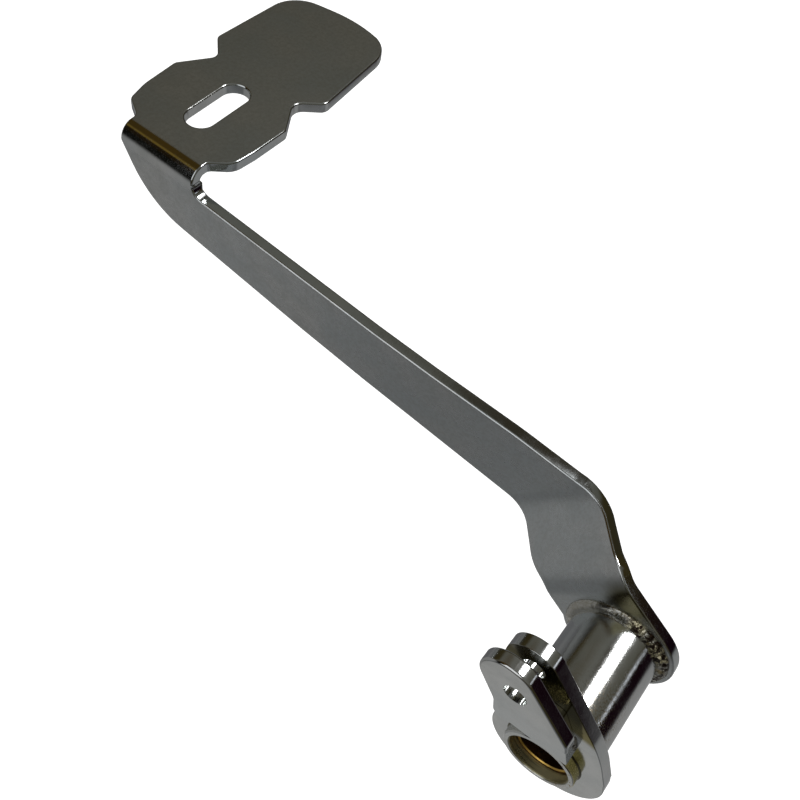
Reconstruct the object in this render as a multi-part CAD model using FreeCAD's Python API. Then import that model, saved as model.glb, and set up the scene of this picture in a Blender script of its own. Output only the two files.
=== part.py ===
"""Motorcycle foot lever: a bent steel arm with a slotted tread pad, welded to a pivot tube
that carries two bronze bushings and a two-ear clevis.

Frame, in millimetres: the origin is on the pivot axis, midway along the pivot tube.
+Y runs along the pivot axis out of the tube's inboard end, +X points from the pivot towards
the tread pad, and +Z is up, square to the tread pad.
"""
import FreeCAD, Part
import math
import os

V = FreeCAD.Vector

# Plate work
PLATE = 5.0            # thickness of the arm, the disc plate and the ear
EAR_EDGE = 0.8         # polished round on the ear's edges

# Pivot tube and bushings
BORE_R = 11.1          # 7/8 in bore that takes the bushings
SPIGOT_R = 13.55       # turned-down ends that pass through the plates
TUBE_R = 16.95
SPIGOT_PROUD = 4.0     # inboard spigot stands proud of the disc plate
TUBE_HALF = 29.0       # half its length; the outboard end is flush with the arm's outboard face
BORE_CHAMFER = 0.5
BUSH_R = 9.525         # 3/4 in running bore
BUSH_LENGTH = 16.0
BUSH_RECESS = 4.0      # from the tube's end to the bushing
BUSH_CHAMFER = 0.4

# Arm: hub end, jog and main run
HUB_FACE_Y = -24.0     # inboard face of the arm at the hub
MAIN_FACE_Y = -44.7    # inboard face of the arm's main run
HUB_R = 22.0          # round end of the arm about the pivot
HUB_HIGH = 124.5       # degrees from +X: the upper edge leaves the round end here
HUB_LOW = -22.7        # and the lower edge here
JOG_DIRECTION = 34.5   # degrees: the jog's bend lines are square to this direction
JOG_START = 21.6       # along that direction from the pivot axis
JOG_SLOPE = 52.0       # degrees
JOG_INNER_R = 14.0
TAIL = 60.0            # strip kept behind the pivot before it is cut to the outline

# Tread pad
PAD_TOP_Z = 59.6
FOLD_R = 6.95          # outer radius of the fold between arm and pad
PAD_X = 244.6
PAD_SKEW = 1.5         # degrees the pad points away from the pivot
FOLD_NEAR = 20.6       # from the pad's middle to the fold strip's edge nearer the pivot
FOLD_AWAY = 18.0       # and to its edge away from the pivot
SLOT_WIDTH = 12.7
SLOT_CENTRES = 19.8
SLOT_FROM_FOLD = 29.2  # slot middle, measured from the fold's tangent line
PAD_NECK = 5.0         # the pad's turn leaves out this much next to the fold
PAD_ROOT = 20.0        # the outline runs this far back past the fold

# Clevis
DISC_CENTRE = (-1.2, -1.2)
DISC_R = 21.25
EAR_GAP = 5.1
PIN_X = 17.8
PIN_Z = 46.8
PIN_R = 3.97           # 5/16 in clevis pin
SPACER_CLEARANCE = 0.6 # between the spacer's hollow and the bead round the spigot

# Weld beads
ARM_BEAD_ON_TUBE = 2.4
ARM_BEAD_ON_ARM = 3.6
ARM_BEAD_BULGE = 0.35
DISC_BEAD = 1.2
ROOT_BEAD_R = 2.2

DISC_FACE_Y = TUBE_HALF - SPIGOT_PROUD
DISC_BACK_Y = DISC_FACE_Y - PLATE
EAR_BACK_Y = DISC_FACE_Y + EAR_GAP
EAR_FACE_Y = EAR_BACK_Y + PLATE
FOLD_Y = MAIN_FACE_Y - FOLD_R
FOLD_Z = PAD_TOP_Z - FOLD_R
FAR = 300.0            # longer than the lever
CLEAR = 5.0            # how far a cutting tool runs past the faces it cuts
OFFSET_TOLERANCE = 1e-4


def rounded_wire(corners, place):
    """Closed wire through corners (a, b, radius); place maps (a, b) to a point in space."""
    count = len(corners)
    ends = []
    for i in range(count):
        a = V(corners[i - 1][0], corners[i - 1][1], 0)
        b = V(corners[i][0], corners[i][1], 0)
        c = V(corners[(i + 1) % count][0], corners[(i + 1) % count][1], 0)
        radius = corners[i][2]
        to_a = (a - b).normalize()
        to_c = (c - b).normalize()
        half = to_a.getAngle(to_c) / 2
        if radius == 0:
            ends.append((b, None, b))
            continue
        reach = radius / math.tan(half)
        middle = b + (to_a + to_c).normalize() * (radius / math.sin(half) - radius)
        ends.append((b + to_a * reach, middle, b + to_c * reach))
    edges = []
    for i in range(count):
        start, middle, stop = [None if p is None else place(p.x, p.y) for p in ends[i]]
        following = place(ends[(i + 1) % count][0].x, ends[(i + 1) % count][0].y)
        if middle is not None:
            edges.append(Part.Arc(start, middle, stop).toShape())
        if stop.distanceToPoint(following) > 1e-6:
            edges.append(Part.LineSegment(stop, following).toShape())
    return Part.Wire(Part.__sortEdges__(edges))


def side_prism(corners, front, back):
    """Prism of an X-Z outline between two Y planes."""
    face = Part.Face(rounded_wire(corners, lambda a, b: V(a, front, b)))
    return face.extrude(V(0, back - front, 0))


def y_cylinder(radius, start, stop, x=0.0, z=0.0):
    return Part.makeCylinder(radius, abs(stop - start), V(x, max(start, stop), z), V(0, -1, 0))


def y_ring(profile):
    """Revolve a closed (radius, y) profile about the pivot axis."""
    points = [V(r, y, 0) for r, y in profile]
    face = Part.Face(Part.makePolygon(points + [points[0]]))
    return face.revolve(V(0, 0, 0), V(0, 1, 0), 360)


def clevis_drill(radius, x=0.0, z=0.0):
    """Cylinder that runs right through both clevis plates."""
    return y_cylinder(radius, EAR_FACE_Y + CLEAR, DISC_BACK_Y - CLEAR, x, z)


def on_hub(degrees):
    turn = math.radians(degrees)
    return V(HUB_R * math.cos(turn), 0, HUB_R * math.sin(turn))


def in_plane(edge, y):
    box = edge.BoundBox
    return abs(box.YMin - y) < 1e-4 and abs(box.YMax - y) < 1e-4


def sheet(edges, run):
    """Surface swept by a chain of edges along a straight run."""
    return Part.Wire(Part.__sortEdges__(edges)).extrude(run)


def jog_surface():
    """Inboard surface of the bent strip, wide enough to cut the arm from."""
    along = math.radians(JOG_DIRECTION)
    slope = math.radians(JOG_SLOPE)
    inner = JOG_INNER_R
    outer = inner + PLATE
    drop = HUB_FACE_Y - MAIN_FACE_Y
    straight = (drop - (inner + outer) * (1 - math.cos(slope))) / math.sin(slope)
    length = (inner + outer) * math.sin(slope) + straight * math.cos(slope)

    def place(along_strip, y):
        return V(along_strip * math.cos(along), y, along_strip * math.sin(along))

    def on_first(turn):
        return place(JOG_START + outer * math.sin(turn), HUB_FACE_Y - outer * (1 - math.cos(turn)))

    def on_second(turn):
        return place(JOG_START + length - inner * math.sin(turn),
                     MAIN_FACE_Y + inner * (1 - math.cos(turn)))

    edges = [Part.LineSegment(place(-TAIL, HUB_FACE_Y), on_first(0)).toShape(),
             Part.Arc(on_first(0), on_first(slope / 2), on_first(slope)).toShape(),
             Part.LineSegment(on_first(slope), on_second(slope)).toShape(),
             Part.Arc(on_second(slope), on_second(slope / 2), on_second(0)).toShape(),
             Part.LineSegment(on_second(0), place(FAR, MAIN_FACE_Y)).toShape()]
    bend_line = V(-math.sin(along), 0, math.cos(along)) * FAR
    surface = sheet(edges, bend_line * 2)
    surface.translate(bend_line * -1)
    return surface


def arm_side_outline():
    """The arm seen along the pivot axis, up to the fold's tangent line."""
    left = PAD_X - FOLD_NEAR
    right = PAD_X + FOLD_AWAY
    start = on_hub(HUB_HIGH)
    end = on_hub(HUB_LOW)
    corners = [(start.x, start.z, 0),
               (14.0, 36.9, 12),
               (43.0, 37.4, 90),
               (68.0, 39.4, 200),
               (120.0, 40.3, 900),
               (left, 48.2, 5),
               (left, FOLD_Z, 0),
               (right, FOLD_Z, 0),
               (249.2, 27.6, 35),
               (150.0, 12.6, 1200),
               (33.0, 1.3, 8),
               (end.x, end.z, 0)]
    wire = rounded_wire(corners, lambda a, b: V(a, 0, b))
    body = [e for e in wire.Edges if not closes(e, start, end)]
    hub = Part.Arc(end, on_hub((HUB_LOW + HUB_HIGH - 360) / 2), start).toShape()
    return Part.Wire(Part.__sortEdges__(body + [hub]))


def closes(edge, start, end):
    ends = [vertex.Point for vertex in edge.Vertexes]
    near = [min(p.distanceToPoint(start), p.distanceToPoint(end)) for p in ends]
    return max(near) < 1e-3


def pad_outline():
    """Tread pad seen from above, as (across, distance from the fold line, corner radius); its
    two lobes are turned a little about the slot's middle."""
    away = [(FOLD_AWAY, 2.2, 3),
            (27.7, 8.4, 5),
            (30.2, 19.0, 25),
            (31.1, 37.3, 3.5),
            (21.4, 52.8, 4),
            (30.9, 63.0, 4),
            (28.6, 111.2, 16)]
    crown = [(-6.0, 116.8, 60)]
    near = [(-26.8, 110.4, 15),
            (-30.6, 61.0, 4.5),
            (-20.4, 52.2, 5.5),
            (-29.3, 37.1, 3.5),
            (-28.8, 19.0, 25),
            (-27.6, 8.1, 8),
            (-FOLD_NEAR, 2.2, 3)]
    skew = math.radians(PAD_SKEW)
    root = (FOLD_AWAY, -PAD_ROOT, 0)
    turned = [root]
    for across, down, radius in away + crown + near:
        if down > PAD_NECK:
            run = down - SLOT_FROM_FOLD
            down = SLOT_FROM_FOLD + run * math.cos(skew) - across * math.sin(skew)
            across = across * math.cos(skew) + run * math.sin(skew)
        turned.append((across, down, radius))
    return turned + [(-FOLD_NEAR, -PAD_ROOT, 0)]


def fold_and_pad_surface():
    """Outer surface of the fold and the top of the pad beyond it."""
    bend = math.sqrt(0.5)
    low = V(PAD_X - FAR, MAIN_FACE_Y, FOLD_Z)
    middle = V(PAD_X - FAR, FOLD_Y + FOLD_R * bend, FOLD_Z + FOLD_R * bend)
    high = V(PAD_X - FAR, FOLD_Y, PAD_TOP_Z)
    edges = [Part.Arc(low, middle, high).toShape(),
             Part.LineSegment(high, V(PAD_X - FAR, FOLD_Y - FAR, PAD_TOP_Z)).toShape()]
    return sheet(edges, V(2 * FAR, 0, 0))


def slot_cut():
    half = SLOT_CENTRES / 2
    middle = V(PAD_X, FOLD_Y - SLOT_FROM_FOLD, PAD_TOP_Z - 2 * PLATE)
    box = Part.makeBox(SLOT_WIDTH, SLOT_CENTRES, 3 * PLATE, V(-SLOT_WIDTH / 2, -half, 0))
    ends = [Part.makeCylinder(SLOT_WIDTH / 2, 3 * PLATE, V(0, side * half, 0)) for side in (-1, 1)]
    cut = box.fuse(ends)
    cut.rotate(V(0, 0, 0), V(0, 0, 1), PAD_SKEW)
    cut.translate(middle)
    return cut


def pedal_arm():
    """One bent plate: its inboard surface is cut to outline, then thickened square to itself."""
    arm_column = Part.Face(arm_side_outline()).extrude(V(0, -FAR, 0))
    pad_wire = rounded_wire(pad_outline(), lambda a, b: V(PAD_X + a, FOLD_Y - b, 0))
    pad_column = Part.Face(pad_wire).extrude(V(0, 0, FAR))
    arm = jog_surface().common(arm_column)
    pad = fold_and_pad_surface().common(pad_column)
    surface = Part.makeCompound(arm.Faces + pad.Faces)
    surface.sewShape()
    plate = surface.Shells[0].makeOffsetShape(-PLATE, OFFSET_TOLERANCE, fill=True)
    return plate.cut(slot_cut()).cut(y_cylinder(SPIGOT_R, HUB_FACE_Y + CLEAR, -TUBE_HALF - CLEAR))


def pivot_tube():
    outer = y_cylinder(TUBE_R, DISC_BACK_Y, HUB_FACE_Y)
    spigot = y_cylinder(SPIGOT_R, TUBE_HALF, -TUBE_HALF)
    bore = y_cylinder(BORE_R, TUBE_HALF + CLEAR, -TUBE_HALF - CLEAR)
    tube = outer.fuse(spigot).cut(bore)
    rim = [e for e in tube.Edges if in_plane(e, TUBE_HALF) or in_plane(e, -TUBE_HALF)]
    return tube.makeChamfer(BORE_CHAMFER, rim)


def bushing(outer_y, direction):
    inner_y = outer_y + direction * BUSH_LENGTH
    sleeve = y_cylinder(BORE_R, outer_y, inner_y).cut(
        y_cylinder(BUSH_R, outer_y - direction, inner_y + direction))
    rim = [e for e in sleeve.Edges if in_plane(e, outer_y) and e.Curve.Radius < BORE_R - 0.1]
    return sleeve.makeChamfer(BUSH_CHAMFER, rim)


def inner_plate_outline():
    """Ear and web of the inboard clevis plate; the disc is added to it."""
    return [(-21.2, 7.0, 0),
            (-13.8, 24.0, 60),
            (14.2, 56.6, 9),
            (27.8, 56.6, 9),
            (27.6, 31.0, 40),
            (20.0, 4.0, 0)]


def clevis_inner_plate():
    disc = y_cylinder(DISC_R, DISC_FACE_Y, DISC_BACK_Y, *DISC_CENTRE)
    web = side_prism(inner_plate_outline(), DISC_FACE_Y, DISC_BACK_Y)
    plate = disc.fuse(web).removeSplitter()
    return plate.cut(clevis_drill(SPIGOT_R)).cut(clevis_drill(PIN_R, PIN_X, PIN_Z))


def clevis_outer_ear():
    outline = [(18.4, 24.8, 1),
               (-4.2, 34.2, 1.5),
               (-2.9, 38.4, 3),
               (17.2, 59.5, 8.5),
               (31.4, 59.5, 9.3),
               (31.4, 47.2, 9),
               (22.6, 34.2, 8),
               (21.0, 27.2, 3)]
    ear = side_prism(outline, EAR_FACE_Y, EAR_BACK_Y)
    ear = ear.cut(clevis_drill(PIN_R, PIN_X, PIN_Z))
    rim = [e for e in ear.Edges if in_plane(e, EAR_FACE_Y) or in_plane(e, EAR_BACK_Y)]
    return ear.makeFillet(EAR_EDGE, [e for e in rim if not e.isClosed()])


def clevis_spacer():
    """Block between the two ears at their root, hollowed to clear the spigot."""
    outline = [(-7.4, 15.0, 1),
               (-3.4, 26.0, 4),
               (3.0, 37.0, 2),
               (19.0, 37.0, 2),
               (19.0, 14.0, 1)]
    block = side_prism(outline, EAR_BACK_Y, DISC_FACE_Y)
    return block.cut(clevis_drill(SPIGOT_R + DISC_BEAD + SPACER_CLEARANCE))


def weld_arm_tube():
    """Bead in the corner between the tube and the arm's inboard face."""
    middle_r = TUBE_R + ARM_BEAD_ON_ARM / 2 + ARM_BEAD_BULGE
    middle_y = HUB_FACE_Y + ARM_BEAD_ON_TUBE / 2 + ARM_BEAD_BULGE
    return y_ring([(TUBE_R, HUB_FACE_Y), (TUBE_R + ARM_BEAD_ON_ARM, HUB_FACE_Y),
                   (middle_r, middle_y), (TUBE_R, HUB_FACE_Y + ARM_BEAD_ON_TUBE)])


def weld_disc_tube():
    """Small bead in the corner between the spigot and the disc plate's inboard face."""
    return y_ring([(SPIGOT_R, DISC_FACE_Y), (SPIGOT_R + DISC_BEAD, DISC_FACE_Y),
                   (SPIGOT_R, DISC_FACE_Y + DISC_BEAD)])


def weld_ear_root():
    """Bead down the spacer's edge where it meets the disc plate."""
    low = V(-6.6, DISC_FACE_Y, 17.2)
    high = V(-3.5, DISC_FACE_Y, 25.7)
    run = high - low
    bead = Part.makeCylinder(ROOT_BEAD_R, run.Length, low, run)
    for end in (low, high):
        bead = bead.fuse(Part.makeSphere(ROOT_BEAD_R, end))
    behind = Part.makeBox(DISC_R, PLATE, 2 * DISC_R, V(-DISC_R, DISC_FACE_Y - PLATE, 0))
    return bead.cut(behind).cut(clevis_spacer()).removeSplitter()


def largest_solid(shape):
    return max(shape.Solids, key=lambda solid: solid.Volume)


NODES = {
    "pedal_arm": pedal_arm,
    "pivot_tube": pivot_tube,
    "bushing_inboard": lambda: bushing(TUBE_HALF - BUSH_RECESS, -1),
    "bushing_outboard": lambda: bushing(BUSH_RECESS - TUBE_HALF, 1),
    "clevis_inner_plate": clevis_inner_plate,
    "clevis_outer_ear": clevis_outer_ear,
    "clevis_spacer": clevis_spacer,
    "weld_arm_tube": weld_arm_tube,
    "weld_disc_tube": weld_disc_tube,
    "weld_ear_root": weld_ear_root,
}

os.makedirs("parts", exist_ok=True)
for name, make in NODES.items():
    solid = largest_solid(make())
    solid.exportStep("parts/" + name + ".step")
    box = solid.BoundBox
    print(name, solid.isValid(), round(solid.Volume, 1),
          [round(v, 1) for v in (box.XMin, box.XMax, box.YMin, box.YMax, box.ZMin, box.ZMax)])
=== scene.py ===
"""Looks of a chromed motorcycle foot lever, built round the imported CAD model. Metres, +Z up.

The pivot runs along Y, with +Y towards the clevis. The arm runs along +X, and its pad faces +Z."""
import bmesh
import bpy
import math
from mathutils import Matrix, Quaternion, Vector, noise


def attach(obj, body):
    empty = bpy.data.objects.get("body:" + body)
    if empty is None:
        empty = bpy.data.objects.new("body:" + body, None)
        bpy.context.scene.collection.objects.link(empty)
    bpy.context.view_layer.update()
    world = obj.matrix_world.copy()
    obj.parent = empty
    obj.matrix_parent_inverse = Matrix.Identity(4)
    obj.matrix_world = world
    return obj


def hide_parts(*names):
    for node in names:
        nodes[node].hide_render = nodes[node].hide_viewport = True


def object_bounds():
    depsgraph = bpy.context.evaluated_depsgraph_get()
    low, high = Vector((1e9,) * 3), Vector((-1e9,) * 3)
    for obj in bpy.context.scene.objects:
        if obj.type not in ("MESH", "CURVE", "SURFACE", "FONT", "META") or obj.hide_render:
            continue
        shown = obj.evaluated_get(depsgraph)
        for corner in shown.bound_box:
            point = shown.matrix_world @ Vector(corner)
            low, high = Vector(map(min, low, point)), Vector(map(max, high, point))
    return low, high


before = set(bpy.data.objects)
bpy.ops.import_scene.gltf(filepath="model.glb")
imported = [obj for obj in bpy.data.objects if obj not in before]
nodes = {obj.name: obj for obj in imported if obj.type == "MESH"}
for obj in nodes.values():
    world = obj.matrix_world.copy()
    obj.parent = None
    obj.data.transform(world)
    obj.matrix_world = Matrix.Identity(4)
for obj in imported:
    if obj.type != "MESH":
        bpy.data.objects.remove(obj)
cad_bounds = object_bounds()
MM = 0.001

# Places and sizes on the object, in millimetres
HUB_FACE = -24.0       # inboard face of the arm at the hub
PAD_TOP = 59.6
FOLD_FOOT = 53.0       # height at which the arm's flat face turns into the fold to the pad
DISC_FACE = 25.0       # inboard face of the disc plate
EAR_BACK = 30.1        # face of the outer ear that looks at the disc plate
TUBE_R = 16.95
TUBE_END = 29.0        # inboard end of the pivot tube
SPIGOT_R = 13.55
BORE_R = 11.1
BUSH_FACE = 25.0       # inboard end of the bushing
BUSH_BORE_R = 9.525
HUB_REFLECTION_SPOT = ((4.0, HUB_FACE, 26.5), 12.5)          # middle and radius of the painted olive reflection on the hub face
GOLDEN_LUMPS = [((-14.0, -22.0, 13.5), 7.0),  # middles and radii of the arm bead's golden lumps
                ((-2.0, -22.0, 19.5), 4.5)]

# Colours of the plating, of what shows through it and of painted shade and reflection, as linear red,
# green, blue and alpha
STEEL = (0.74, 0.745, 0.73, 1)
# painted shade colour of the disc bead, for the dark line round the spigot's foot
BEAD_SHADE_OLIVE = (0.16, 0.145, 0.08, 1)
PIT_BROWN = (0.16, 0.14, 0.11, 1)
HAZE_GREY = (0.50, 0.51, 0.49, 1)
# painted reflection: the olive that the hub face mirrors
REFLECTED_OLIVE = (0.16, 0.145, 0.075, 1)
SAND_BROWN = (0.46, 0.38, 0.26, 1)
SPIGOT_GOLD = (0.74, 0.66, 0.26, 1)
BORE_DARK = (0.13, 0.115, 0.05, 1)
BORE_BRIGHT = (0.50, 0.46, 0.26, 1)
# painted shade for the faces deep between the two ears
GAP_SHADE_OLIVE = (0.26, 0.22, 0.07, 1)
GAP_SHADE_DEEP = (0.10, 0.085, 0.025, 1)
OILED_BRONZE = (0.24, 0.12, 0.04, 1)
STAINED_BRONZE = (0.12, 0.06, 0.02, 1)
WORN_BRONZE = (0.95, 0.62, 0.16, 1)
WELD_GREY = (0.64, 0.64, 0.61, 1)
WELD_SAND = (0.33, 0.30, 0.20, 1)
WELD_STAIN = (0.46, 0.38, 0.22, 1)
WELD_GOLD = (0.92, 0.84, 0.58, 1)
CREVICE_BROWN = (0.05, 0.03, 0.02, 1)


# ---------------------------------------------------------------- node helpers
def new_tree(name):
    material = bpy.data.materials.new(name)
    material.use_nodes = True
    tree = material.node_tree
    tree.nodes.clear()
    return material, tree


def add(tree, kind, inputs=None, **settings):
    """A node with its settings and inputs; an input that is a socket is linked."""
    node = tree.nodes.new(kind)
    for key, value in settings.items():
        setattr(node, key, value)
    for key, value in (inputs or {}).items():
        if isinstance(value, bpy.types.NodeSocket):
            tree.links.new(value, node.inputs[key])
        else:
            node.inputs[key].default_value = value
    return node


def maths(tree, operation, a, b=0.0):
    return add(tree, "ShaderNodeMath", {0: a, 1: b}, operation=operation).outputs[0]


def product(tree, first, *factors):
    """Everything given, multiplied together."""
    result = first
    for factor in factors:
        result = maths(tree, "MULTIPLY", result, factor)
    return result


def plus(tree, base, value, weight):
    """base with weight times value added to it."""
    return maths(tree, "ADD", base, maths(tree, "MULTIPLY", value, weight))


def ramp_between(tree, value, low, high, to_low=0.0, to_high=1.0):
    """Smooth step of value from low..high to to_low..to_high."""
    node = add(tree, "ShaderNodeMapRange", {"Value": value, "From Min": low, "From Max": high,
                                            "To Min": to_low, "To Max": to_high},
               interpolation_type="SMOOTHSTEP")
    return node.outputs["Result"]


def zone(tree, place, low, high, to_low=0.0, to_high=1.0):
    """ramp_between for a coordinate or a distance, with low and high in millimetres."""
    return ramp_between(tree, place, low * MM, high * MM, to_low, to_high)


def mix_colour(tree, factor, a, b):
    return add(tree, "ShaderNodeMix", {0: factor, 6: a, 7: b}, data_type="RGBA").outputs[2]


def noise_of(tree, coords, scale, detail, rough, stretch=None):
    """Noise at a scale per metre, stretched along an axis when asked."""
    if stretch:
        coords = add(tree, "ShaderNodeMapping", {"Vector": coords, "Scale": stretch}).outputs[0]
    node = add(tree, "ShaderNodeTexNoise", {"Vector": coords, "Scale": scale, "Detail": detail,
                                            "Roughness": rough})
    return node.outputs["Fac"]


def object_coords(tree):
    return add(tree, "ShaderNodeTexCoord").outputs["Object"]


def axes_of(tree, vector):
    """The X, Y and Z of a vector."""
    return add(tree, "ShaderNodeSeparateXYZ", {0: vector}).outputs


def surface_normal(tree):
    return axes_of(tree, add(tree, "ShaderNodeNewGeometry").outputs["Normal"])


def axis_distance(tree, place):
    """How far a place is from the pivot axis."""
    flat = add(tree, "ShaderNodeCombineXYZ", {"X": place["X"], "Y": place["Z"]}).outputs[0]
    return add(tree, "ShaderNodeVectorMath", {0: flat}, operation="LENGTH").outputs["Value"]


def near_spot(tree, coords, spot, radius):
    """1 at a place on the object, in millimetres, falling to 0 at radius from it."""
    away = add(tree, "ShaderNodeVectorMath", {0: coords, 1: Vector(spot) * MM}, operation="DISTANCE")
    return zone(tree, away.outputs["Value"], 0.35 * radius, radius, 1.0, 0.0)


def metal(tree, colour, roughness, height, depth, strength=1.0, plated=1.0):
    """The metal shader with bump of a depth in millimetres, joined to the material's output."""
    bump = add(tree, "ShaderNodeBump", {"Height": height, "Strength": strength,
                                        "Distance": depth * MM})
    shader = add(tree, "ShaderNodeBsdfPrincipled", {"Base Color": colour, "Roughness": roughness,
                                                    "Metallic": plated, "Normal": bump.outputs[0]})
    add(tree, "ShaderNodeOutputMaterial", {"Surface": shader.outputs[0]})


# ---------------------------------------------------------------- materials
def shade(base, red, green, blue):
    return (base[0] * red, base[1] * green, base[2] * blue, 1)


def chrome(name, base, rough, mottle, wave, grit, scratch_axis, pits, patchy, tint=None):
    """Plated steel: rough is the range of roughness, mottle its cloudiness, wave the unevenness
    left by polishing in millimetres, grit the fine orange peel, scratch_axis the polishing
    direction, pits the share of tiny pits, patchy how much the plating's tone drifts. tint
    changes the colour, roughness and plating in the piece's own zones."""
    material, tree = new_tree(name)
    coords = object_coords(tree)
    cloud = noise_of(tree, coords, 90, 5, 0.62)
    drift = noise_of(tree, coords, 22, 3, 0.6)
    fine = noise_of(tree, coords, 1900, 3, 0.6)
    lines = noise_of(tree, coords, 260, 5, 0.7, stretch=scratch_axis)
    speck = add(tree, "ShaderNodeTexVoronoi", {"Vector": coords, "Scale": 420.0,
                                               "Randomness": 1.0}).outputs["Distance"]
    pit = ramp_between(tree, speck, 0.02, pits, 1.0, 0.0)

    roughness = ramp_between(tree, cloud, 0.3, 0.7, rough[0], rough[1])
    roughness = plus(tree, roughness, lines, mottle)
    roughness = plus(tree, roughness, pit, 0.25)

    clouded = shade(base, 1 - 0.14 * patchy, 1 - 0.13 * patchy, 1 - 0.14 * patchy)
    drifted = shade(base, 1 - 0.09 * patchy, 1 - 0.06 * patchy, 1 - 0.04 * patchy)
    scratched = shade(base, 0.8, 0.78, 0.72)
    colour = mix_colour(tree, ramp_between(tree, cloud, 0.35, 0.7, 0.0, 0.55), base, clouded)
    colour = mix_colour(tree, ramp_between(tree, drift, 0.35, 0.65, 0.0, 0.7), colour, drifted)
    colour = mix_colour(tree, ramp_between(tree, lines, 0.55, 0.75, 0.0, 0.3), colour, scratched)
    colour = mix_colour(tree, maths(tree, "MULTIPLY", pit, 0.7), colour, PIT_BROWN)
    plated = 1.0
    if tint:
        colour, roughness, plated = tint(tree, coords, colour, roughness)

    height = plus(tree, cloud, fine, grit)
    height = plus(tree, height, lines, 0.16)
    height = plus(tree, height, pit, -0.25)
    metal(tree, colour, roughness, height, depth=wave, plated=plated)
    return material


def arm_zones(tree, coords, colour, roughness):
    """The pad's top and the arm's broad faces are hazier than the fold and the edges, and an olive
    reflection is painted on the broad face above the weld."""
    normal = surface_normal(tree)
    place = axes_of(tree, coords)
    on_pad = zone(tree, place["Z"], PAD_TOP - 0.12, PAD_TOP - 0.02)
    broad = product(tree, ramp_between(tree, normal["Y"], 0.40, 0.58),
                    zone(tree, place["Z"], FOLD_FOOT - 3, FOLD_FOOT, 1.0, 0.0))
    grain = ramp_between(tree, noise_of(tree, coords, 620, 5, 0.78), 0.40, 0.62, 0.0, 0.42)
    worn = product(tree, grain, maths(tree, "MAXIMUM", on_pad, broad))
    # painted reflection: an olive spot on the broad face near the hub
    painted_reflection = product(tree, broad, near_spot(tree, coords, *HUB_REFLECTION_SPOT))
    colour = mix_colour(tree, worn, colour, HAZE_GREY)
    colour = mix_colour(tree, painted_reflection, colour, REFLECTED_OLIVE)
    roughness = plus(tree, roughness, on_pad, 0.24)
    roughness = plus(tree, roughness, broad, 0.19)
    return colour, roughness, 1.0


def tube_zones(tree, coords, colour, roughness):
    """The tube's proud spigot is tinted olive-gold, its bore is bare turned steel, and the
    plating is sandy towards the clevis."""
    place = axes_of(tree, coords)
    proud = zone(tree, place["Y"], DISC_FACE + 0.2, DISC_FACE + 0.6)
    before_end = zone(tree, place["Y"], TUBE_END - 0.45, TUBE_END - 0.2, 1.0, 0.0)
    inside = zone(tree, axis_distance(tree, place), BORE_R + 0.2, BORE_R + 0.5, 1.0, 0.0)
    flank = zone(tree, place["X"], -4, 4, 1.0, 0.1)
    golden = product(tree, proud, before_end, flank)

    peel = noise_of(tree, coords, 1500, 2, 0.6)
    sandy = product(tree, ramp_between(tree, peel, 0.50, 0.62),
                    zone(tree, place["Y"], -14, 12),
                    zone(tree, place["X"], -9, 6, 1.0, 0.15),
                    zone(tree, place["X"], -16, -12, 0.1, 1.0))
    turned = noise_of(tree, coords, 800, 4, 0.6, stretch=(0.06, 1.0, 0.06))
    bare = mix_colour(tree, ramp_between(tree, turned, 0.36, 0.62), BORE_DARK, BORE_BRIGHT)

    colour = mix_colour(tree, sandy, colour, SAND_BROWN)
    colour = mix_colour(tree, golden, colour, SPIGOT_GOLD)
    colour = mix_colour(tree, inside, colour, bare)
    roughness = plus(tree, roughness, sandy, 0.14)
    roughness = plus(tree, roughness, inside, 0.16)
    plated = plus(tree, ramp_between(tree, inside, 0.0, 1.0, 1.0, 0.7), golden, -0.5)
    return colour, roughness, plated


def gap_painted_shade(tree, coords, colour, roughness):
    """Painted shade: the flat faces deep between the two ears turn olive-brown, darker higher up."""
    normal = surface_normal(tree)
    place = axes_of(tree, coords)
    between = product(tree, zone(tree, place["Y"], DISC_FACE - 0.8, DISC_FACE - 0.5),
                      zone(tree, place["Y"], EAR_BACK + 0.6, EAR_BACK + 0.9, 1.0, 0.0))
    deep = product(tree, zone(tree, place["Z"], 25.5, 29), zone(tree, place["Z"], 49, 58, 1.0, 0.0))
    flat = ramp_between(tree, maths(tree, "ABSOLUTE", normal["Y"]), 0.15, 0.5)
    # painted shade: darkens the flat faces deep between the ears
    painted_shade = product(tree, between, deep, flat)
    olive = mix_colour(tree, zone(tree, place["Z"], 29, 38), GAP_SHADE_OLIVE, GAP_SHADE_DEEP)
    return mix_colour(tree, painted_shade, colour, olive), roughness, 1.0


def bronze(name):
    """Sintered bronze, dark with oil, with a bright worn mouth."""
    material, tree = new_tree(name)
    coords = object_coords(tree)
    grain = noise_of(tree, coords, 1400, 4, 0.7)
    stain = noise_of(tree, coords, 120, 4, 0.6)
    turned = noise_of(tree, coords, 700, 3, 0.6, stretch=(0.05, 1.0, 0.05))
    place = axes_of(tree, coords)
    end = zone(tree, place["Y"], BUSH_FACE - 0.6, BUSH_FACE - 0.2)
    rim = zone(tree, axis_distance(tree, place), BUSH_BORE_R + 0.575, BUSH_BORE_R + 0.975,
               1.0, 0.0)
    body = mix_colour(tree, ramp_between(tree, stain, 0.35, 0.65), OILED_BRONZE, STAINED_BRONZE)
    colour = mix_colour(tree, product(tree, end, rim), body, WORN_BRONZE)
    roughness = ramp_between(tree, grain, 0.3, 0.7, 0.3, 0.5)
    metal(tree, colour, roughness, maths(tree, "ADD", grain, turned), depth=0.06, strength=0.5)
    return material


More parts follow.
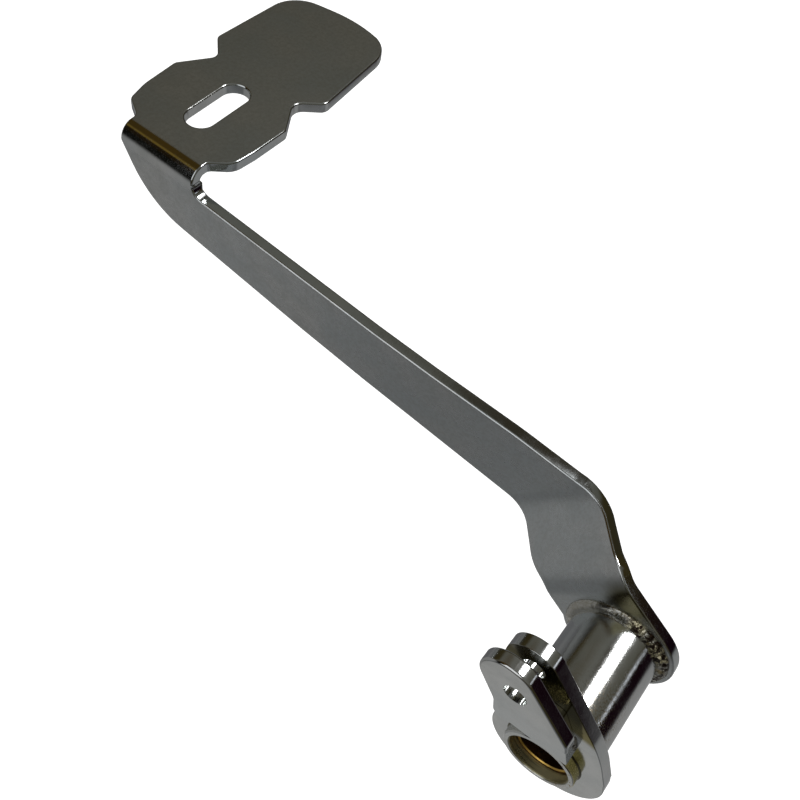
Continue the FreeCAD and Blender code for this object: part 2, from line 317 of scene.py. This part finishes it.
def weld_chrome(name):
    """Chrome over a weld: a smooth sandy grey run on the pad's side, dark brown crevices and golden
    lumps from the top round to the far side."""
    material, tree = new_tree(name)
    coords = object_coords(tree)
    place = axes_of(tree, coords)
    rough_side = zone(tree, place["X"], -3, 7, 1.0, 0.0)
    lumpy = noise_of(tree, coords, 480, 5, 0.65)
    grit = noise_of(tree, coords, 2200, 3, 0.6)
    stain = noise_of(tree, coords, 260, 4, 0.6)
    groove = noise_of(tree, coords, 620, 4, 0.62)
    golden = maths(tree, "MAXIMUM", *[near_spot(tree, coords, *lump) for lump in GOLDEN_LUMPS])
    sandy = ramp_between(tree, grit, 0.46, 0.60, 0.15, 0.8)
    stained = product(tree, rough_side, ramp_between(tree, stain, 0.50, 0.62))
    crevice = product(tree, rough_side, ramp_between(tree, groove, 0.46, 0.53, 1.0, 0.0))

    colour = mix_colour(tree, sandy, WELD_GREY, WELD_SAND)
    colour = mix_colour(tree, stained, colour, WELD_STAIN)
    colour = mix_colour(tree, golden, colour, WELD_GOLD)
    colour = mix_colour(tree, crevice, colour, CREVICE_BROWN)
    roughness = ramp_between(tree, grit, 0.35, 0.65, 0.08, 0.24)
    height = plus(tree, lumpy, grit, 0.3)
    height = plus(tree, height, crevice, -0.6)
    height = product(tree, height, ramp_between(tree, rough_side, 0.0, 1.0, 0.5, 1.6))
    metal(tree, colour, roughness, height, depth=0.3, strength=0.7)
    return material


plate_chrome = chrome("chrome_plate", STEEL, rough=(0.04, 0.10), mottle=0.05, wave=0.06,
                      grit=0.03, scratch_axis=(0.25, 1.0, 1.6), pits=0.035, patchy=2.0,
                      tint=arm_zones)
clevis_chrome = chrome("chrome_clevis", STEEL, rough=(0.07, 0.14), mottle=0.05, wave=0.05,
                       grit=0.05, scratch_axis=(1.0, 1.0, 0.4), pits=0.04, patchy=1.3,
                       tint=gap_painted_shade)
tube_chrome = chrome("chrome_tube", STEEL, rough=(0.07, 0.14), mottle=0.06, wave=0.06,
                     grit=0.30, scratch_axis=(1.6, 0.15, 1.6), pits=0.09, patchy=1.0,
                     tint=tube_zones)
# painted shade: the disc bead is dark olive so that a dark line shows round the spigot's foot
shaded_bead_chrome = chrome("chrome_bead_shade", BEAD_SHADE_OLIVE, rough=(0.12, 0.2), mottle=0.06, wave=0.04,
                     grit=0.2, scratch_axis=(1.0, 0.3, 1.0), pits=0.05, patchy=1.5)
weld_material = weld_chrome("chrome_weld")
bronze_material = bronze("oiled_bronze")


# ---------------------------------------------------------------- CAD nodes
def clothe(obj, material):
    obj.data.materials.clear()
    obj.data.materials.append(material)
    for polygon in obj.data.polygons:
        polygon.material_index = 0


def soften(obj, width, segments=3):
    """Round the node's sharp edges by width, in millimetres, the way polishing does, once its flat
    faces are whole again."""
    weld = obj.modifiers.new("join", "WELD")
    weld.merge_threshold = 0.01 * MM
    flat = obj.modifiers.new("whole_faces", "DECIMATE")
    flat.decimate_type = "DISSOLVE"
    flat.angle_limit = math.radians(1.0)
    bevel = obj.modifiers.new("round", "BEVEL")
    bevel.width = width * MM
    bevel.segments = segments
    bevel.limit_method = "ANGLE"
    bevel.angle_limit = math.radians(28)
    bevel.use_clamp_overlap = False
    shading = obj.modifiers.new("even_shading", "WEIGHTED_NORMAL")
    shading.mode = "FACE_AREA"
    shading.weight = 50


for material, names in ((plate_chrome, ["pedal_arm"]),
                        (clevis_chrome, ["clevis_inner_plate", "clevis_outer_ear", "clevis_spacer"]),
                        (tube_chrome, ["pivot_tube"]),
                        (bronze_material, ["bushing_inboard", "bushing_outboard"])):
    for name in names:
        clothe(nodes[name], material)
soften(nodes["pedal_arm"], 0.8)
soften(nodes["clevis_inner_plate"], 0.3)
soften(nodes["clevis_spacer"], 0.15, segments=2)


# ---------------------------------------------------------------- weld beads
SINK = 0.15            # how far a ring bead reaches into the metal it joins


def mesh_piece(name, bm, material, replaced):
    """A smooth piece made of bm, in place of a CAD node."""
    mesh = bpy.data.meshes.new(name)
    bmesh.ops.recalc_face_normals(bm, faces=bm.faces)
    bm.to_mesh(mesh)
    bm.free()
    for polygon in mesh.polygons:
        polygon.use_smooth = True
    piece = bpy.data.objects.new(name, mesh)
    bpy.context.scene.collection.objects.link(piece)
    mesh.materials.append(material)
    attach(piece, "root")
    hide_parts(replaced)


def bridge(bm, ring_a, ring_b):
    """Faces between two closed rings with as many points each."""
    for j in range(len(ring_a)):
        k = (j + 1) % len(ring_a)
        bm.faces.new((ring_a[j], ring_a[k], ring_b[k], ring_b[j]))


def ring_bead(name, replaced, material, foot_r, foot_y, reach_r, reach_y, crown, pitch, life_at):
    """Rippled bead round the pivot axis, in the corner between a cylinder of radius foot_r and
    the face at foot_y. It reaches reach_r out along the face and reach_y along the cylinder,
    bulges by crown and ripples once every pitch; life_at(angle) says how rough the run is."""
    sections = 420
    profile = 11
    ripples = round(2 * math.pi * foot_r / pitch)
    lean = math.hypot(reach_r, reach_y)
    bm = bmesh.new()
    rings = []
    for i in range(sections):
        angle = 2 * math.pi * i / sections
        life = life_at(angle)
        phase = (angle * ripples / (2 * math.pi)) % 1.0
        corners = []
        for j in range(profile + 1):
            t = j / profile
            arch = math.sin(math.pi * t)
            wave = (phase + 0.35 * arch) % 1.0
            wobble = noise.noise(Vector((angle * 6, t * 2.2, 3.1)))
            lump = noise.noise(Vector((angle * 26, t * 4.0, 8.7)))
            out = crown * arch + arch * life * (0.30 * (1 - wave) ** 1.6 + 0.28 * wobble + 0.35 * lump)
            r = foot_r + reach_r * (1 + 0.10 * wobble * life) * t + out * reach_y / lean
            y = foot_y + reach_y * (1 + 0.12 * wobble * life) * (1 - t) + out * reach_r / lean
            if j == 0:
                r = foot_r - SINK
            if j == profile:
                y = foot_y - SINK
            corners.append((r, y))
        corners.append((foot_r - SINK, foot_y - SINK))
        rings.append([bm.verts.new((r * math.cos(angle) * MM, y * MM, r * math.sin(angle) * MM))
                      for r, y in corners])
    for i in range(sections):
        bridge(bm, rings[i], rings[(i + 1) % sections])
    mesh_piece(name, bm, material, replaced)


def bump_at(angle, centre, width):
    """1 at the centre angle, fading over width; all in radians."""
    away = (angle - centre + math.pi) % (2 * math.pi) - math.pi
    return math.exp(-(away / width) ** 2)


def arm_bead_life(angle):
    """Smooth where the bead starts on the pad's side, rough from the top round to the far side,
    roughest at its two golden lumps."""
    rough = 0.5 + 0.5 * math.tanh((math.degrees(angle) - 72) / 9)
    return (0.10 + 0.55 * rough + 0.7 * bump_at(angle, math.radians(95), 0.2)
            + 1.1 * bump_at(angle, math.radians(134), 0.24))


def root_bead(name, replaced, material):
    """Short rough bead down the spacer's edge, on the disc plate."""
    low = Vector((-6.2, DISC_FACE, 17.4))
    high = Vector((-3.8, DISC_FACE, 24.4))
    run = high - low
    side = run.normalized().cross(Vector((0, 1, 0))).normalized()
    steps = 48
    around = 18
    deepest = -0.4
    bm = bmesh.new()
    rings = []
    for i in range(steps + 1):
        t = i / steps
        taper = math.sqrt(max(0.0, 1 - abs(2 * t - 1) ** 4))
        wave = (t * 6.0) % 1.0
        ring = []
        for j in range(around):
            turn = 2 * math.pi * j / around
            lump = noise.noise(Vector((t * 14, math.cos(turn) * 1.5, math.sin(turn) * 1.5)))
            radius = (0.2 + 0.85 * taper) * (1 + 0.28 * lump + 0.12 * (1 - wave))
            lift = max(deepest, radius * math.sin(turn))
            point = low + run * t + side * radius * math.cos(turn) + Vector((0, lift, 0))
            ring.append(bm.verts.new(point * MM))
        rings.append(ring)
    for a, b in zip(rings, rings[1:]):
        bridge(bm, a, b)
    bm.faces.new(rings[0])
    bm.faces.new(rings[-1])
    mesh_piece(name, bm, material, replaced)


ring_bead("weld_arm_tube_bead", "weld_arm_tube", weld_material, foot_r=TUBE_R, foot_y=HUB_FACE,
          reach_r=3.4, reach_y=2.3, crown=0.5, pitch=2.1, life_at=arm_bead_life)
ring_bead("weld_disc_tube_bead", "weld_disc_tube", shaded_bead_chrome, foot_r=SPIGOT_R, foot_y=DISC_FACE,
          reach_r=0.6, reach_y=0.4, crown=0.04, pitch=1.6, life_at=lambda angle: 0.08)
root_bead("weld_ear_root_bead", "weld_ear_root", weld_material)


# ---------------------------------------------------------------- studio
# The sky's colour by level, which is 0 straight down and 1 straight up but for a tilt
SKY_TILT = 0.3
SKY_STOPS = [(0.00, (0.34, 0.34, 0.34)),
             (0.09, (0.22, 0.22, 0.22)),
             (0.15, (0.13, 0.131, 0.132)),
             (0.22, (0.165, 0.167, 0.17)),
             (0.34, (0.12, 0.122, 0.125)),
             (0.40, (0.080, 0.080, 0.078)),
             (0.45, (0.028, 0.024, 0.012)),
             (0.60, (0.034, 0.026, 0.009)),
             (0.70, (0.096, 0.094, 0.078)),
             (0.85, (0.122, 0.122, 0.107)),
             (1.00, (0.13, 0.13, 0.12))]

# Soft patches: their direction, the degrees within which they are full and beyond which they
# are gone, and their colour. Later ones lie over earlier ones.
SKY_PATCHES = [
    ((0.5, 0.62, 0.60), 22, 46, (0.010, 0.006, 0.002)),      # dark cloth above the pad, inboard
    ((0.57, 0.0, 0.82), 14, 30, (0.046, 0.028, 0.006)),      # brown cloth above the pad
    ((0.57, 0.32, 0.76), 1, 8, (0.120, 0.080, 0.016)),       # golden fold between those two
    ((0.45, 0.88, 0.10), 20, 32, (0.003, 0.003, 0.002)),     # black cloth inboard of the pad
    ((0.03, -0.57, 0.82), 6, 12, (0.035, 0.030, 0.020)),     # dark beam above, outboard
    ((0.85, 0.30, -0.42), 28, 44, (0.24, 0.24, 0.24)),       # grey board below the pad
    ((0.50, -0.46, -0.73), 14, 28, (0.125, 0.125, 0.13)),    # darker board further outboard
    ((-0.92, -0.42, 0.0), 12, 19, (0.006, 0.002, 0.004)),    # black cloth beyond the hub
    ((-0.55, -0.78, -0.30), 14, 24, (0.020, 0.012, 0.018)),  # black cloth outboard of the hub
    ((-0.83, -0.43, 0.34), 0.5, 4, (0.95, 1.0, 1.1)),        # small lamp over the black cloth
    ((-0.70, -0.45, -0.55), 8, 24, (0.26, 0.26, 0.26)),      # grey board under the black cloth
    ((-0.06, 0.30, -0.95), 6, 13, (0.34, 0.34, 0.335))]      # bright board below the hub
WINDOW = (0.85, 0.86, 0.88, 1)
SOFTBOX = (1.25, 1.25, 1.28, 1)


def lobe(tree, direction, towards, full, none):
    """1 within full degrees of a direction, falling smoothly to 0 at none degrees."""
    unit = Vector(towards).normalized()
    dot = add(tree, "ShaderNodeVectorMath", {0: direction, 1: unit}, operation="DOT_PRODUCT")
    return ramp_between(tree, dot.outputs["Value"], math.cos(math.radians(none)),
                        math.cos(math.radians(full)))


def sky_ramp(tree, level):
    node = add(tree, "ShaderNodeValToRGB", {0: level})
    node.color_ramp.interpolation = "EASE"
    elements = node.color_ramp.elements
    for element, (position, colour) in zip(elements, (SKY_STOPS[0], SKY_STOPS[-1])):
        element.position = position
        element.color = (*colour, 1)
    for position, colour in SKY_STOPS[1:-1]:
        elements.new(position).color = (*colour, 1)
    return node.outputs["Color"]


def studio_world():
    """Grey below, a dark horizon, olive and brown cloth above, as the polished steel shows it."""
    world = bpy.data.worlds.new("studio")
    bpy.context.scene.world = world
    world.use_nodes = True
    tree = world.node_tree
    tree.nodes.clear()
    direction = add(tree, "ShaderNodeTexCoord").outputs["Generated"]
    axes = axes_of(tree, direction)
    level = plus(tree, axes["Z"], axes["Y"], SKY_TILT)
    level = maths(tree, "ADD", maths(tree, "MULTIPLY", level, 0.5), 0.5)
    colour = sky_ramp(tree, level)
    for towards, full, none, patch in SKY_PATCHES:
        colour = mix_colour(tree, lobe(tree, direction, towards, full, none), colour, (*patch, 1))
    window = product(tree, lobe(tree, direction, (0.28, 0.78, 0.55), 30, 38),
                     ramp_between(tree, axes["X"], 0.465, 0.505, 1.0, 0.0))
    colour = mix_colour(tree, window, colour, WINDOW)
    softbox = lobe(tree, direction, (-0.23, -0.44, 0.87), 3, 14)
    colour = mix_colour(tree, softbox, colour, SOFTBOX)
    back = add(tree, "ShaderNodeBackground", {"Color": colour, "Strength": 1.0})
    add(tree, "ShaderNodeOutputWorld", {"Surface": back.outputs[0]})


def sweep():
    """Pale floor that curves up into a backdrop all round."""
    centre_x, centre_y = 0.1, -0.05
    floor = cad_bounds[0][2] - 0.10   # well below the lever, which hangs free over it
    flat_r, curve_r, wall_top = 2.0, 1.2, 4.0
    sides = 96
    profile = [(0.8, 0.0), (flat_r, 0.0)]
    profile += [(flat_r + curve_r * math.sin(math.radians(turn)),
                 curve_r - curve_r * math.cos(math.radians(turn))) for turn in range(10, 91, 10)]
    profile += [(flat_r + curve_r, wall_top)]
    bm = bmesh.new()
    centre = bm.verts.new((centre_x, centre_y, floor))
    rings = []
    for r, z in profile:
        rings.append([bm.verts.new((centre_x + r * math.cos(2 * math.pi * i / sides),
                                    centre_y + r * math.sin(2 * math.pi * i / sides), floor + z))
                      for i in range(sides)])
    for i in range(sides):
        bm.faces.new((centre, rings[0][i], rings[0][(i + 1) % sides]))
    for a, b in zip(rings, rings[1:]):
        bridge(bm, b, a)
    mesh = bpy.data.meshes.new("floor")
    bm.to_mesh(mesh)
    bm.free()
    for polygon in mesh.polygons:
        polygon.use_smooth = True
    piece = bpy.data.objects.new("floor", mesh)
    bpy.context.scene.collection.objects.link(piece)
    material, tree = new_tree("pale_floor")
    shader = add(tree, "ShaderNodeBsdfPrincipled",
                 {"Base Color": (0.8, 0.8, 0.8, 1), "Roughness": 0.9,
                  "Emission Color": (1, 1, 1, 1), "Emission Strength": 0.93})
    add(tree, "ShaderNodeOutputMaterial", {"Surface": shader.outputs[0]})
    mesh.materials.append(material)
    piece.visible_glossy = False
    piece.visible_diffuse = False
    piece.visible_shadow = False


def aimed(place, target):
    """The turn that points a lamp or a camera from a place at a target, upright."""
    return (Vector(target) - Vector(place)).to_track_quat("-Z", "Y")


def soft_light(name, place, target, size, power):
    data = bpy.data.lights.new(name, "AREA")
    data.shape = "DISK"
    data.size = size
    data.energy = power
    light = bpy.data.objects.new(name, data)
    light.location = place
    light.rotation_euler = aimed(place, target).to_euler()
    bpy.context.scene.collection.objects.link(light)


def camera(place, target, roll, lens):
    """Camera aimed at a target and then rolled by so many degrees."""
    data = bpy.data.cameras.new("camera")
    data.lens = lens
    data.sensor_width = 36.0
    data.clip_start = 0.01
    obj = bpy.data.objects.new("camera", data)
    obj.location = place
    turn = aimed(place, target) @ Quaternion((0, 0, 1), math.radians(roll))
    obj.rotation_euler = turn.to_euler()
    bpy.context.scene.collection.objects.link(obj)
    bpy.context.scene.camera = obj


studio_world()
sweep()
soft_light("overhead", place=(-0.35, -0.70, 1.30), target=(0.05, 0.0, 0.0), size=0.5, power=6.0)
camera(place=(0.019283, 0.144694, 0.31453), target=(0.12087, -0.0541, 0.0), roll=12.735, lens=42.75)
bpy.context.scene.view_settings.view_transform = "Standard"
